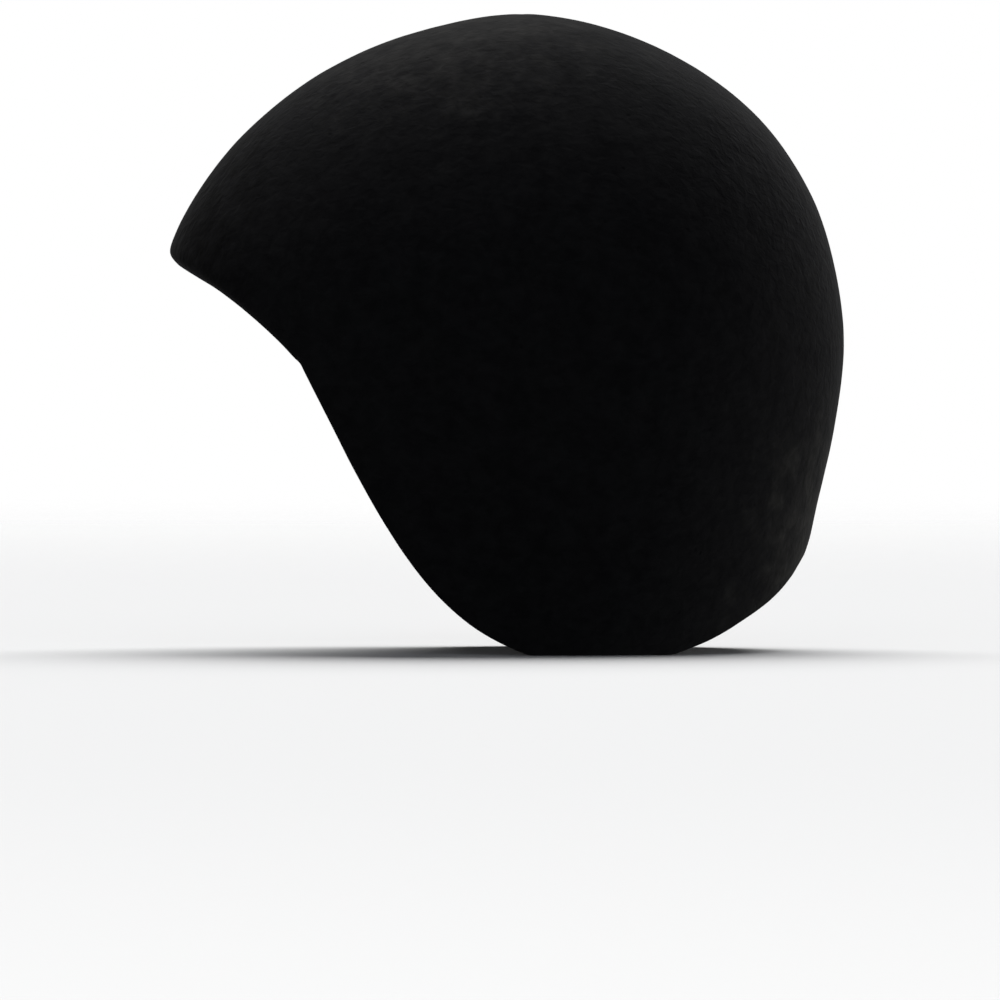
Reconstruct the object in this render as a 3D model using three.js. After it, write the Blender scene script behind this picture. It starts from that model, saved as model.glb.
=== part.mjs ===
import * as THREE from 'three';

// A capulet hat: a close, helmet-shaped cap blocked from one piece of black felt.
// Millimetres, +Z up. The wearer looks along -Y, and +X is the wearer's left.
// The hat stands by itself on its two ear lobes, which its weight presses flat where they rest.

// Driving dimensions

const WALL = 2.4; // thickness of the felt
const PRESSED_FLAT = 3.5; // height of felt that is flattened under each ear lobe
const EDGE_CORNER = 0.9; // how far the softened corners of the cut edge reach up the wall
const EDGE_CORNER_SHARE = 0.15; // part of the wall's thickness that each softened corner takes
const EDGE_TUCK = { depth: 0.6, width: 7 }; // slight inward turn of the felt all round its edge
const BROW_TUCK = { depth: 3.4, width: 4.2, halfAngle: 60 }; // stronger turn under the brow tip
const REAR_FULLNESS = 1.5; // extra fullness behind the ears, taken from the temples

// Distance from the head's centre to the outer felt, by elevation in degrees above the level
// where the head is widest
const SECTIONS = [
  { elevation: 90, front: 104.9, side: 104.9, back: 104.9 }, // crown's top
  { elevation: 75, front: 104.6, side: 103.4, back: 104.0 },
  { elevation: 60, front: 106.1, side: 99.7, back: 103.4 },
  { elevation: 45, front: 108.8, side: 94.6, back: 103.6 },
  { elevation: 30, front: 112.3, side: 89.2, back: 103.0 },
  { elevation: 15, front: 115.6, side: 85.2, back: 101.6 }, // brow tip
  { elevation: 0, front: 114.0, side: 83.0, back: 101.3 }, // widest level
  { elevation: -15, front: 111.0, side: 84.0, back: 101.6 },
  { elevation: -30, front: 109.0, side: 89.5, back: 106.3 }, // nape
  { elevation: -45, front: 112.0, side: 101.0, back: 119.5 },
  { elevation: -60, front: 124.0, side: 124.0, back: 138.0 }, // below the ear lobes
];

// The cut edge seen from the side: distance behind the head's centre, and height above it
const TEMPLE_CORNER = { behind: -69.4, height: -5.7 };
const EDGE = [
  { behind: -108.8, height: 25 }, // brow tip
  { behind: -100.5, height: 20.2 },
  { behind: -96, height: 17.5 },
  { behind: -85.3, height: 9.4 },
  { behind: -76, height: 1.1 },
  { behind: -70.5, height: -4.6 },
  TEMPLE_CORNER,
  { behind: -68.6, height: -7.3 },
  { behind: -64, height: -16.5 },
  { behind: -60.2, height: -24 },
  { behind: -52.6, height: -38.9 },
  { behind: -41.8, height: -57.8 },
  { behind: -29.3, height: -74.9 },
  { behind: -13.8, height: -88.6 },
  { behind: 4.9, height: -96.7 },
  { behind: 23.6, height: -99.5 }, // lowest point of the ear lobe
  { behind: 42.6, height: -97 },
  { behind: 57, height: -92.5 },
  { behind: 68.2, height: -86.4 },
  { behind: 79.3, height: -78.4 },
  { behind: 85.2, height: -71.8 },
  { behind: 89.2, height: -65.5 }, // middle of the nape
];

// Fineness of the mesh
// Columns on one side of the head, from each landmark of the edge to the next
const COLUMNS_TO = { templeCorner: 13, flatFront: 15, flatBack: 8, nape: 12 };
const CORNER_CROWDING = 1.4; // above 1, columns draw together towards the temple corner
const AZIMUTH_STEP = 0.25; // in degrees, when measuring along the edge
const ROWS = 26; // from the crown's top to the edge
const TOP_CROWDING = 1.3; // above 1, rows draw together towards the crown's top
const EDGE_CROWDING = 1.8; // above 1, rows draw together towards the edge
const EDGE_SEARCH_STEPS = 40; // halvings when looking for the edge

const FELT_COLOUR = 0x0b0b0c;

const TOP = 90; // elevation of the crown's top, in degrees
const NAPE = 180; // azimuth of the middle of the nape, in degrees
const LOWEST_ELEVATION = SECTIONS.at(-1).elevation;
const COLUMNS = 2 * Object.values(COLUMNS_TO).reduce((sum, count) => sum + count);
const FLOOR = Math.min(...EDGE.map((row) => row.height)) + PRESSED_FLAT;

// A smooth curve through table values, as a function of their positions
function smoothCurve(positions, values) {
  const spline = new THREE.CubicInterpolant(positions, values, 1);
  return (position) => spline.evaluate(position)[0];
}

// A profile that runs up one column of the sections, over the crown and down another
function profileOverCrown(upColumn, downColumn) {
  const rising = [...SECTIONS].reverse();
  const falling = SECTIONS.slice(1);
  const angles = [
    ...rising.map((row) => row.elevation),
    ...falling.map((row) => 2 * TOP - row.elevation),
  ];
  const distances = [
    ...rising.map((row) => row[upColumn]),
    ...falling.map((row) => row[downColumn]),
  ];
  return smoothCurve(angles, distances);
}

const lengthProfile = profileOverCrown('front', 'back');
const widthProfile = profileOverCrown('side', 'side');
const edgeHeight = smoothCurve(EDGE.map((row) => row.behind), EDGE.map((row) => row.height));

// Distance to the blocked felt before its edge is tucked in. Azimuth 0 is the front, 180 the back.
function blockedDistance(azimuth, elevation) {
  const front = lengthProfile(elevation);
  const back = lengthProfile(2 * TOP - elevation);
  const side = widthProfile(elevation);
  const turn = THREE.MathUtils.degToRad(azimuth);
  const fullness = REAR_FULLNESS * Math.cos(THREE.MathUtils.degToRad(elevation));
  const mean = (front + back) / 4 + side / 2;
  const lopsidedness = (front - back) / 2 - fullness;
  const ovalness = (front + back) / 4 - side / 2;
  const roundPart = mean + lopsidedness * Math.cos(turn);
  return roundPart + ovalness * Math.cos(2 * turn) + fullness * Math.cos(3 * turn);
}

function pointAt(azimuth, elevation, distance) {
  const turn = THREE.MathUtils.degToRad(azimuth);
  const rise = THREE.MathUtils.degToRad(elevation);
  const level = distance * Math.cos(rise);
  return new THREE.Vector3(level * Math.sin(turn), -level * Math.cos(turn), distance * Math.sin(rise));
}

// How far the felt is turned in at a distance above its edge
function tuck(azimuth, aboveEdge) {
  const inward = ({ depth, width }) => depth * Math.max(0, 1 - aboveEdge / width) ** 2;
  const fromFront = Math.min(azimuth, 2 * NAPE - azimuth) / BROW_TUCK.halfAngle;
  const browShare = fromFront < 1 ? Math.cos((fromFront * Math.PI) / 2) ** 2 : 0;
  return inward(EDGE_TUCK) + browShare * inward(BROW_TUCK);
}

function feltPoint(azimuth, elevation, edgeElevation) {
  const blocked = blockedDistance(azimuth, elevation);
  const aboveEdge = blocked * THREE.MathUtils.degToRad(elevation - edgeElevation);
  return pointAt(azimuth, elevation, blocked - tuck(azimuth, aboveEdge));
}

// Where a column of felt ends, and whether the floor or the cut ends it
function findEdge(azimuth) {
  let above = TOP;
  let below = LOWEST_ELEVATION;
  let onFloor = false;
  for (let step = 0; step < EDGE_SEARCH_STEPS; step += 1) {
    const middle = (above + below) / 2;
    const point = feltPoint(azimuth, middle, middle);
    const overCut = point.z - edgeHeight(point.y);
    const overFloor = point.z - FLOOR;
    if (Math.min(overCut, overFloor) > EDGE_CORNER) {
      above = middle;
    } else {
      below = middle;
      onFloor = overFloor < overCut;
    }
  }
  return { elevation: above, place: feltPoint(azimuth, above, above), onFloor };
}

// Length along the edge from the brow tip, by azimuth, and to the landmarks that columns meet
function measureEdge() {
  const azimuths = [];
  const lengths = [];
  const landmarks = {};
  let length = 0;
  let last = findEdge(0).place;
  for (let azimuth = 0; azimuth <= NAPE; azimuth += AZIMUTH_STEP) {
    const { place, onFloor } = findEdge(azimuth);
    length += place.distanceTo(last);
    last = place;
    azimuths.push(azimuth);
    lengths.push(length);
    if (place.y < TEMPLE_CORNER.behind) {
      landmarks.templeCorner = length;
    }
    if (onFloor) {
      landmarks.flatFront ??= length;
      landmarks.flatBack = length;
    }
  }
  landmarks.nape = length;
  return { azimuths, lengths, landmarks };
}

// Share of the way from one landmark to the next, with columns drawn together at the temple corner
function crowdedShare(landmark, share) {
  if (landmark === 'templeCorner') {
    return 1 - (1 - share) ** CORNER_CROWDING;
  }
  return landmark === 'flatFront' ? share ** CORNER_CROWDING : share;
}

// The azimuth of each column, round from the brow tip
function columnAzimuths() {
  const { azimuths, lengths, landmarks } = measureEdge();
  const azimuthAt = new THREE.LinearInterpolant(lengths, azimuths, 1);
  const oneSide = [0];
  let start = 0;
  for (const [landmark, count] of Object.entries(COLUMNS_TO)) {
    const end = landmarks[landmark];
    for (let column = 1; column <= count; column += 1) {
      const along = THREE.MathUtils.lerp(start, end, crowdedShare(landmark, column / count));
      oneSide.push(azimuthAt.evaluate(along)[0]);
    }
    start = end;
  }
  const otherSide = oneSide.slice(1, -1).reverse().map((azimuth) => 2 * NAPE - azimuth);
  return [...oneSide, ...otherSide];
}

// Each column's points from below the crown's top down to the edge
function feltColumns() {
  return columnAzimuths().map((azimuth) => {
    const edge = findEdge(azimuth);
    const points = [];
    for (let row = 1; row <= ROWS; row += 1) {
      const fromTop = (row / ROWS) ** TOP_CROWDING;
      const toEdge = 1 - (1 - fromTop) ** EDGE_CROWDING;
      const elevation = THREE.MathUtils.lerp(TOP, edge.elevation, toEdge);
      points.push(feltPoint(azimuth, elevation, edge.elevation));
    }
    return { points, onFloor: edge.onFloor };
  });
}

// Triangles of a band between two rings of points that start at the given indices. Each four-sided
// cell is divided the shorter way across.
function bandTriangles(points, upperStart, lowerStart) {
  const triangles = [];
  for (let column = 0; column < COLUMNS; column += 1) {
    const next = (column + 1) % COLUMNS;
    const upper = upperStart + column;
    const lower = lowerStart + column;
    const upperNext = upperStart + next;
    const lowerNext = lowerStart + next;
    if (points[upper].distanceTo(points[lowerNext]) < points[lower].distanceTo(points[upperNext])) {
      triangles.push(upper, lower, lowerNext, upper, lowerNext, upperNext);
    } else {
      triangles.push(upper, lower, upperNext, upperNext, lower, lowerNext);
    }
  }
  return triangles;
}

// A dome's triangles: a fan round its top vertex, then bands down to its last ring
function domeTriangles(points, topIndex, facesOut) {
  const triangles = [];
  const ringStart = (row) => topIndex + 1 + row * COLUMNS;
  for (let column = 0; column < COLUMNS; column += 1) {
    triangles.push(topIndex, ringStart(0) + column, ringStart(0) + ((column + 1) % COLUMNS));
  }
  for (let row = 1; row < ROWS; row += 1) {
    triangles.push(...bandTriangles(points, ringStart(row - 1), ringStart(row)));
  }
  return facesOut ? triangles : triangles.reverse();
}

function geometryFrom(points, triangles) {
  const geometry = new THREE.BufferGeometry().setFromPoints(points);
  geometry.setIndex(triangles);
  geometry.computeVertexNormals();
  return geometry;
}

// The inner face of the felt, one wall thickness in from the outer face along its normals
function innerPoints(outerPoints) {
  const outerDome = geometryFrom(outerPoints, domeTriangles(outerPoints, 0, true));
  const normals = outerDome.getAttribute('normal');
  return outerPoints.map((point, index) => {
    const normal = new THREE.Vector3().fromBufferAttribute(normals, index);
    return point.clone().addScaledVector(normal, -WALL);
  });
}

// One ring of the cut edge, at a share of the way through the wall
function edgeRing(columns, innerEnds, throughWall) {
  return columns.map(({ points, onFloor }, column) => {
    const outerEnd = points.at(-1);
    const onwards = outerEnd.clone().sub(points.at(-2)).normalize();
    const point = outerEnd.clone().lerp(innerEnds[column], throughWall);
    point.addScaledVector(onwards, EDGE_CORNER);
    point.z = onFloor ? FLOOR : Math.max(point.z, FLOOR);
    return point;
  });
}

// The whole felt: outer face, inner face and the cut edge that joins them
function feltGeometry() {
  const columns = feltColumns();
  const outer = [pointAt(0, TOP, blockedDistance(0, TOP))];
  for (let row = 0; row < ROWS; row += 1) {
    outer.push(...columns.map(({ points }) => points[row]));
  }
  const inner = innerPoints(outer);
  const innerEnds = inner.slice(-COLUMNS);
  const outerCut = edgeRing(columns, innerEnds, EDGE_CORNER_SHARE);
  const innerCut = edgeRing(columns, innerEnds, 1 - EDGE_CORNER_SHARE);
  const points = [...outer, ...inner, ...outerCut, ...innerCut];
  const innerStart = outer.length;
  const outerCutStart = innerStart + inner.length;
  const innerCutStart = outerCutStart + COLUMNS;
  const triangles = [
    ...domeTriangles(points, 0, true),
    ...bandTriangles(points, innerStart - COLUMNS, outerCutStart),
    ...bandTriangles(points, outerCutStart, innerCutStart),
    ...bandTriangles(points, innerCutStart, outerCutStart - COLUMNS),
    ...domeTriangles(points, innerStart, false),
  ];
  return geometryFrom(points, triangles);
}

// Moves a geometry so that the middle of its base is the origin
function centreOnBase(geometry) {
  geometry.computeBoundingBox();
  const { min, max } = geometry.boundingBox;
  return geometry.translate(-(min.x + max.x) / 2, -(min.y + max.y) / 2, -min.z);
}

const felt = new THREE.MeshStandardMaterial({ color: FELT_COLOUR, roughness: 0.95, metalness: 0 });
const feltCap = new THREE.Mesh(centreOnBase(feltGeometry()), felt);
feltCap.name = 'felt_cap';

const capuletHat = new THREE.Group();
capuletHat.add(feltCap);

export default capuletHat;
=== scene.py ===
import math

import bmesh
import bpy
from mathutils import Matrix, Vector, noise


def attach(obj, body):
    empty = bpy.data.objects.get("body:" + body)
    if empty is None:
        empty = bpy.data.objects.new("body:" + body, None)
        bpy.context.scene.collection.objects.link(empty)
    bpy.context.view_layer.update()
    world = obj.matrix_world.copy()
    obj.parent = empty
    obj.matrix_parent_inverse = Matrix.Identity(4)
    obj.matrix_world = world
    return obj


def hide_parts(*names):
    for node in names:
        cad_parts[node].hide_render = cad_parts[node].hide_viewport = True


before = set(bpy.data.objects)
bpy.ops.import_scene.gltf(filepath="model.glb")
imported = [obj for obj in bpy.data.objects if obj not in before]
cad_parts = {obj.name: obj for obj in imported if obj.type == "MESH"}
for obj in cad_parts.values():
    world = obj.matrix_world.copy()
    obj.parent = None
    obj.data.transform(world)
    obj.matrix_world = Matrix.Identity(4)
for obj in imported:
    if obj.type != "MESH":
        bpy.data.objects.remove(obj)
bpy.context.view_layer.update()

MM = 0.001

# Felt surface
MERGE_DISTANCE = 0.01 * MM
SUBDIVISIONS = 2
FITTING_ROUNDS = 3
HEAD_CENTRE = Vector((0, 4.93, 96)) * MM  # the felt's waves rise away from here
WAVES = (
    {"length": 26 * MM, "height": 0.18 * MM},  # unevenness of the block
    {"length": 9 * MM, "height": 0.05 * MM},  # matted clumps
    {"length": 4.5 * MM, "height": 0.03 * MM},  # tufts
)
FLAT_FADE = 8 * MM  # the felt's waves fade out this close to the floor

# Felt colour, linear
FELT_DARK = (0.0048, 0.0048, 0.0052, 1)
FELT_LIGHT = (0.0086, 0.0086, 0.0090, 1)
DARK_HEIGHT = 0.36  # the nap is dark up to this height, and light from the next one up
LIGHT_HEIGHT = 0.64

# Felt finish
FELT_FINISH = {
    "Roughness": 0.95,
    "Specular IOR Level": 0.05,
    "Sheen Weight": 0.015,
    "Sheen Roughness": 0.35,
    "Sheen Tint": (1, 1, 1, 1),
}
RELIEF_STRENGTH = 0.8
RELIEF_DEPTH = 0.8 * MM

# Nap patterns, with their sizes in millimetres, and how much each of them adds to the nap's height
CLUMPS = {"size": 7, "detail": 1, "roughness": 0.5, "distortion": 0.4}
TUFTS = {"size": 2.6, "detail": 1, "roughness": 0.5, "distortion": 0.5}
FIBRES = {"size": 0.6, "detail": 2, "roughness": 0.7}
PITS = {"spacing": 11, "radius": 1}
HEIGHT_SHARES = {"clumps": 0.44, "tufts": 0.44, "fibres": 0.12, "pits": -0.25}
NAP_STRETCH = (1, 1.4, 1)  # the tufts and fibres lie from front to back

# Places with painted light or painted shade on the felt, each with its middle and reach in millimetres
PAINTED_LIGHT_PLACES = (
    {"middle": (0, -18, 196), "reach": (90, 58, 60), "tint": (2.2, 2.15, 2.0, 1)},  # painted highlight: the top of the crown lighter
    {"middle": (0, 92, 36), "reach": (62, 50, 58), "tint": (2.6, 2.56, 2.3, 1)},  # painted light: the felt above the nape lighter
    {"middle": (0, -106, 125), "reach": (70, 60, 70), "tint": (0.3, 0.3, 0.3, 1)},  # painted shade: the tip over the brow darker
)
TINT_INNER = 0.3  # share of its reach within which a place has its full tint
MOTTLING = {"size": 8, "detail": 3, "roughness": 0.55}
MOTTLING_MIDDLE = 0.5  # the pattern's usual value
MOTTLED_EDGE = 1.3  # how far the mottling moves a place's edge, as a share of its reach
MOTTLED_TINT = 1.4  # how far the mottling changes the strength of the tint

# Picture frame: the plane at the middle of the object's box, seen with a long lens from just above level
VIEW_WIDTH = 315.5 * MM
VIEW_AIM = Vector((0, -2.25, 47.6)) * MM
VIEW_DISTANCE = 5.0
VIEW_ELEVATION = math.radians(0.8)
VIEW_DEPTH = 100.0  # nothing farther off than this is drawn
SENSOR_WIDTH = 36  # in millimetres, as the lens is

# Stage
FLOOR_RADIUS = 4.0
FLOOR_SIDES = 64
FLOOR_FADE_START = 1.0
FLOOR_FADE_END = 3.6
FLOOR_FINISH = {"Base Color": (0.72, 0.72, 0.72, 1), "Roughness": 0.9, "Specular IOR Level": 0.1}
WORLD_COLOUR = (1, 1, 1, 1)
AMBIENT_STRENGTH = 0.04
BACKDROP_STRENGTH = 1.0

# Soft lights, each with the direction it comes from and its softness in degrees
LIGHTS = (
    {"name": "overhead", "towards": (-0.46, 0.05, 0.87), "strength": 4, "softness": 60},
    {"name": "rear", "towards": (-0.7, 0.7, 0.1), "strength": 0.4, "softness": 45},
    {"name": "bounce", "towards": (-0.25, 0.8, -0.55), "strength": 1.3, "softness": 40},
    {"name": "fill", "towards": (1, 0, 0.3), "strength": 0.66, "softness": 60, "colour": (0.85, 0.9, 1)},
    {"name": "front", "towards": (0, -1, 0.1), "strength": 0.3, "softness": 50},
)


# Shapes

def smoothed_mesh(holder):
    """A new mesh: the holder's own, with its modifier applied."""
    holder.data.update()
    holder.update_tag()
    view = bpy.context.evaluated_depsgraph_get()
    view.update()
    return bpy.data.meshes.new_from_object(holder.evaluated_get(view))


def subdivided(mesh):
    """A new mesh, smoothed by subdivision, that passes closely through the points of the old one."""
    holder = bpy.data.objects.new("subdivision_holder", mesh)
    bpy.context.collection.objects.link(holder)
    smoothing = holder.modifiers.new("smoothing", "SUBSURF")
    smoothing.levels = SUBDIVISIONS
    smoothing.render_levels = SUBDIVISIONS
    targets = [vertex.co.copy() for vertex in mesh.vertices]
    for _ in range(FITTING_ROUNDS):
        smoothed = smoothed_mesh(holder)
        # the smoothed mesh lists the old points first, in the same order
        for vertex, target, reached in zip(mesh.vertices, targets, smoothed.vertices):
            vertex.co += target - reached.co
        bpy.data.meshes.remove(smoothed)
    result = smoothed_mesh(holder)
    bpy.data.objects.remove(holder)
    return result


def rings_below(top):
    """Number of steps along edges from the crown's top to each vertex, over the edge and up inside."""
    rings = {top: 0}
    newest = [top]
    while newest:
        following = []
        for vertex in newest:
            for edge in vertex.link_edges:
                other = edge.other_vert(vertex)
                if other not in rings:
                    rings[other] = rings[vertex] + 1
                    following.append(other)
        newest = following
    return rings


def edges_by_band(cap, rings):
    """The edges that run from one ring to the next, under the number of the ring they start from."""
    bands = {}
    for edge in cap.edges:
        upper, lower = sorted(rings[vertex] for vertex in edge.verts)
        if upper != lower:
            bands.setdefault(upper, []).append(edge)
    return bands


def dividers_round(band, front_of):
    """Every second edge on the way round a band of triangles, which divides one of its cells in two."""
    at_front = [edge for edge in band if all(vertex.co.y < front_of for vertex in edge.verts)]
    upright = min(at_front, key=lambda edge: sum(abs(vertex.co.x) for vertex in edge.verts))
    members = set(band)
    edge = upright
    face = edge.link_faces[0]
    crossed = []
    while not crossed or edge != upright:
        edge = next(other for other in face.edges if other in members and other != edge)
        face = next(other for other in edge.link_faces if other != face)
        crossed.append(edge)
    return crossed[::2]


def quads_from(node):
    """The node's mesh as four-sided cells, with triangles only round the crown's top inside and out."""
    cap = bmesh.new()
    cap.from_mesh(node.data)
    bmesh.ops.remove_doubles(cap, verts=cap.verts, dist=MERGE_DISTANCE)
    top = max(cap.verts, key=lambda vertex: vertex.co.z)
    bands = edges_by_band(cap, rings_below(top))
    dividers = []
    for ring in sorted(bands)[1:-1]:
        dividers += dividers_round(bands[ring], top.co.y)
    bmesh.ops.dissolve_edges(cap, edges=dividers, use_verts=False)
    mesh = bpy.data.meshes.new("felt_quads")
    cap.to_mesh(mesh)
    cap.free()
    return mesh


def wave_height(place):
    """Height of the felt's own unevenness at a place."""
    total = 0
    for wave in WAVES:
        total += wave["height"] * noise.noise(place / wave["length"])
    return total * min(1, place.z / FLAT_FADE)


def make_felt():
    mesh = subdivided(quads_from(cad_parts["felt_cap"]))
    for vertex in mesh.vertices:
        outward = (vertex.co - HEAD_CENTRE).normalized()
        vertex.co += outward * wave_height(vertex.co)
        vertex.co.z = max(vertex.co.z, 0)
    mesh.shade_smooth()
    mesh.materials.append(felt_material())
    felt = bpy.data.objects.new("felt", mesh)
    bpy.context.collection.objects.link(felt)
    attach(felt, "root")
    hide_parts("felt_cap")


# Materials

def start_material(name, finish):
    """A new material and its shader, with the finish's values on the shader's own inputs."""
    material = bpy.data.materials.new(name)
    material.use_nodes = True
    shader = material.node_tree.nodes["Principled BSDF"]
    for input_name, value in finish.items():
        shader.inputs[input_name].default_value = value
    return material, shader


def add_node(tree, kind, **settings):
    """A new node, with each setting put on its property or else on its input of that name."""
    node = tree.nodes.new(kind)
    for name, value in settings.items():
        if hasattr(node, name):
            setattr(node, name, value)
        else:
            node.inputs[name].default_value = value
    return node


def place_from(tree, middle, reach):
    """The place on the object as seen from a middle, in shares of a reach along each axis, both in mm."""
    place = add_node(tree, "ShaderNodeTexCoord")
    scale = add_node(tree, "ShaderNodeMapping")
    scale.inputs["Location"].default_value = [-offset / size for offset, size in zip(middle, reach)]
    scale.inputs["Scale"].default_value = [1 / (MM * size) for size in reach]
    tree.links.new(place.outputs["Object"], scale.inputs["Vector"])
    return scale.outputs["Vector"]


def place_in_mm(tree, stretch=(1, 1, 1)):
    """The place on the object in millimetres, with patterns drawn out along an axis by its stretch."""
    return place_from(tree, middle=(0, 0, 0), reach=stretch)


def length_of(tree, place):
    """How far a place is from the middle that it is measured from."""
    length = add_node(tree, "ShaderNodeVectorMath", operation="LENGTH")
    tree.links.new(place, length.inputs[0])
    return length.outputs["Value"]


def calculate(tree, operation, first, second):
    """The result of a sum on two values, each a number or another node's output."""
    node = add_node(tree, "ShaderNodeMath", operation=operation)
    for socket, value in zip(node.inputs, (first, second)):
        if isinstance(value, (int, float)):
            socket.default_value = value
        else:
            tree.links.new(value, socket)
    return node.outputs["Value"]


def soft_step(tree, value, start, end):
    """Zero where the value is at the start or before it, one at the end or past it, and smooth between."""
    step = add_node(tree, "ShaderNodeMapRange", interpolation_type="SMOOTHSTEP")
    step.inputs["From Min"].default_value = start
    step.inputs["From Max"].default_value = end
    tree.links.new(value, step.inputs["Value"])
    return step.outputs["Result"]


def noise_pattern(tree, place, size, detail, roughness, distortion=0):
    """Noise whose features are about size millimetres across."""
    pattern = add_node(
        tree,
        "ShaderNodeTexNoise",
        Scale=1 / size,
        Detail=detail,
        Roughness=roughness,
        Distortion=distortion,
    )
    tree.links.new(place, pattern.inputs["Vector"])
    return pattern.outputs["Fac"]


def spot_pattern(tree, place, spacing, radius):
    """One in the middle of each small round spot, fading to zero at its radius."""
    cells = add_node(tree, "ShaderNodeTexVoronoi", Scale=1 / spacing)
    tree.links.new(place, cells.inputs["Vector"])
    return soft_step(tree, cells.outputs["Distance"], start=radius / spacing, end=0)


def multiplied(tree, colour, tint, strength):
    """The colour multiplied by a tint, as far as the strength says."""
    mix = add_node(tree, "ShaderNodeMix", data_type="RGBA", blend_type="MULTIPLY", clamp_factor=False)
    below, above = [socket for socket in mix.inputs if socket.type == "RGBA"]
    above.default_value = tint
    tree.links.new(strength, mix.inputs["Factor"])
    tree.links.new(colour, below)
    return next(socket for socket in mix.outputs if socket.type == "RGBA")


# Felt

def nap_height(tree):
    """How matted or raised the nap is, about 0 to 1: clumps, drawn-out tufts, fine fibres and pits."""
    even = place_in_mm(tree)
    drawn_out = place_in_mm(tree, stretch=NAP_STRETCH)
    patterns = {
        "clumps": noise_pattern(tree, even, **CLUMPS),
        "tufts": noise_pattern(tree, drawn_out, **TUFTS),
        "fibres": noise_pattern(tree, drawn_out, **FIBRES),
        "pits": spot_pattern(tree, even, **PITS),
    }
    height = 0
    for name, share in HEIGHT_SHARES.items():
        height = calculate(tree, "ADD", height, calculate(tree, "MULTIPLY", patterns[name], share))
    return height


def nap_shades(tree, height):
    """The felt's plain colour: dark in the nap's low places and lighter in its high ones."""
    shades = add_node(tree, "ShaderNodeValToRGB")
    dark, light = shades.color_ramp.elements
    dark.position = DARK_HEIGHT
    dark.color = FELT_DARK
    light.position = LIGHT_HEIGHT
    light.color = FELT_LIGHT
    tree.links.new(height, shades.inputs["Fac"])
    return shades.outputs["Color"]


def with_painted_light(tree, colour):
    """The colour with each place's painted light or painted shade laid over it, mottled all over and
    ragged at its edge.
    """
    pattern = noise_pattern(tree, place_in_mm(tree), **MOTTLING)
    mottling = calculate(tree, "SUBTRACT", pattern, MOTTLING_MIDDLE)
    farther = calculate(tree, "MULTIPLY", mottling, MOTTLED_EDGE)
    varied = calculate(tree, "SUBTRACT", 1, calculate(tree, "MULTIPLY", mottling, MOTTLED_TINT))
    # each place multiplies its painted light or painted shade into the felt's colour
    for painted_place in PAINTED_LIGHT_PLACES:
        away = length_of(tree, place_from(tree, painted_place["middle"], painted_place["reach"]))
        fade = soft_step(tree, calculate(tree, "ADD", away, farther), start=1, end=TINT_INNER)
        strength = calculate(tree, "MULTIPLY", fade, varied)
        colour = multiplied(tree, colour, painted_place["tint"], strength)
    return colour


def felt_material():
    material, shader = start_material("black_felt", FELT_FINISH)
    tree = material.node_tree
    height = nap_height(tree)
    # the base colour carries the painted highlights and painted shade of the places above
    tree.links.new(with_painted_light(tree, nap_shades(tree, height)), shader.inputs["Base Color"])
    relief = add_node(tree, "ShaderNodeBump", Strength=RELIEF_STRENGTH, Distance=RELIEF_DEPTH)
    tree.links.new(height, relief.inputs["Height"])
    tree.links.new(relief.outputs["Normal"], shader.inputs["Normal"])
    return material


# Stage

def floor_material():
    """Pale paper that fades out far from the object."""
    material, paper = start_material("pale_floor", FLOOR_FINISH)
    tree = material.node_tree
    place = add_node(tree, "ShaderNodeTexCoord")
    away = length_of(tree, place.outputs["Object"])
    fade = soft_step(tree, away, start=FLOOR_FADE_START, end=FLOOR_FADE_END)
    clear = add_node(tree, "ShaderNodeBsdfTransparent")
    mix = add_node(tree, "ShaderNodeMixShader")
    tree.links.new(fade, mix.inputs["Fac"])
    tree.links.new(paper.outputs["BSDF"], mix.inputs[1])
    tree.links.new(clear.outputs["BSDF"], mix.inputs[2])
    tree.links.new(mix.outputs["Shader"], tree.nodes["Material Output"].inputs["Surface"])
    return material


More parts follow.
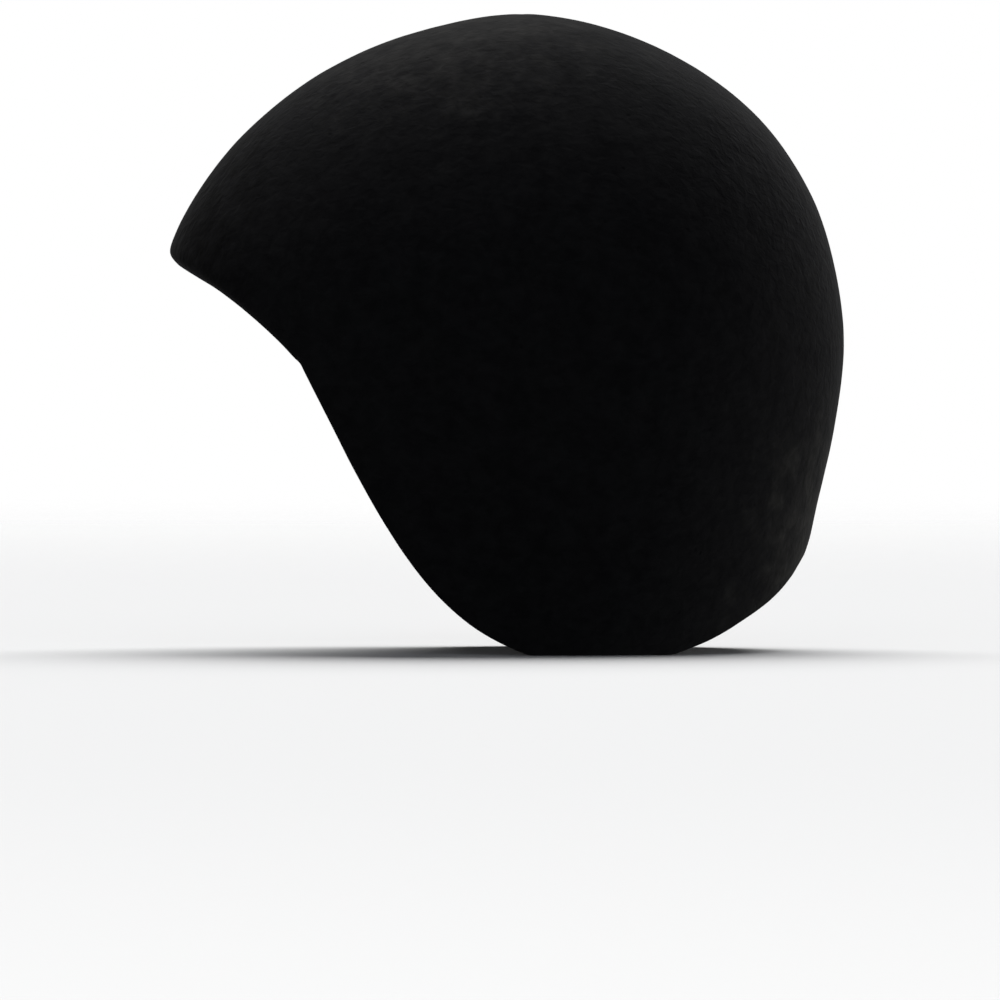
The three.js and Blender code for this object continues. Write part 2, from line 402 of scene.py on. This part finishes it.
def make_floor():
    """A pale disc that throws no diffuse light on the felt and lets the light from below through."""
    disc = bmesh.new()
    bmesh.ops.create_circle(disc, cap_ends=True, segments=FLOOR_SIDES, radius=FLOOR_RADIUS)
    mesh = bpy.data.meshes.new("floor")
    disc.to_mesh(mesh)
    disc.free()
    mesh.materials.append(floor_material())
    floor = bpy.data.objects.new("floor", mesh)
    floor.visible_diffuse = False
    floor.visible_shadow = False
    bpy.context.collection.objects.link(floor)


def make_world():
    """A white backdrop that lights the object only dimly."""
    world = bpy.data.worlds.new("studio")
    world.use_nodes = True
    tree = world.node_tree
    background = tree.nodes["Background"]
    background.inputs["Color"].default_value = WORLD_COLOUR
    ray = add_node(tree, "ShaderNodeLightPath")
    strength = add_node(tree, "ShaderNodeMix", data_type="FLOAT")
    strength.inputs["A"].default_value = AMBIENT_STRENGTH
    strength.inputs["B"].default_value = BACKDROP_STRENGTH
    tree.links.new(ray.outputs["Is Camera Ray"], strength.inputs["Factor"])
    tree.links.new(strength.outputs["Result"], background.inputs["Strength"])
    bpy.context.scene.world = world


def add_soft_light(name, towards, strength, softness, colour=(1, 1, 1)):
    """Even, soft light that comes from one direction, with no fall-off across the floor."""
    lamp = bpy.data.lights.new(name, "SUN")
    lamp.energy = strength
    lamp.angle = math.radians(softness)
    lamp.color = colour
    light = bpy.data.objects.new(name, lamp)
    light.rotation_euler = Vector(towards).to_track_quat("Z", "Y").to_euler()
    bpy.context.collection.objects.link(light)


def make_camera():
    """A camera that looks from the wearer's left, with the width of the picture frame at its aim."""
    lens = bpy.data.cameras.new("camera")
    lens.sensor_width = SENSOR_WIDTH
    lens.lens = SENSOR_WIDTH * VIEW_DISTANCE / VIEW_WIDTH
    lens.clip_end = VIEW_DEPTH
    camera = bpy.data.objects.new("camera", lens)
    towards = Vector((math.cos(VIEW_ELEVATION), 0, math.sin(VIEW_ELEVATION)))
    camera.location = VIEW_AIM + towards * VIEW_DISTANCE
    camera.rotation_euler = (-towards).to_track_quat("-Z", "Y").to_euler()
    bpy.context.collection.objects.link(camera)
    bpy.context.scene.camera = camera


make_felt()
make_floor()
make_world()
for light in LIGHTS:
    add_soft_light(**light)
make_camera()
bpy.context.scene.view_settings.view_transform = "Standard"
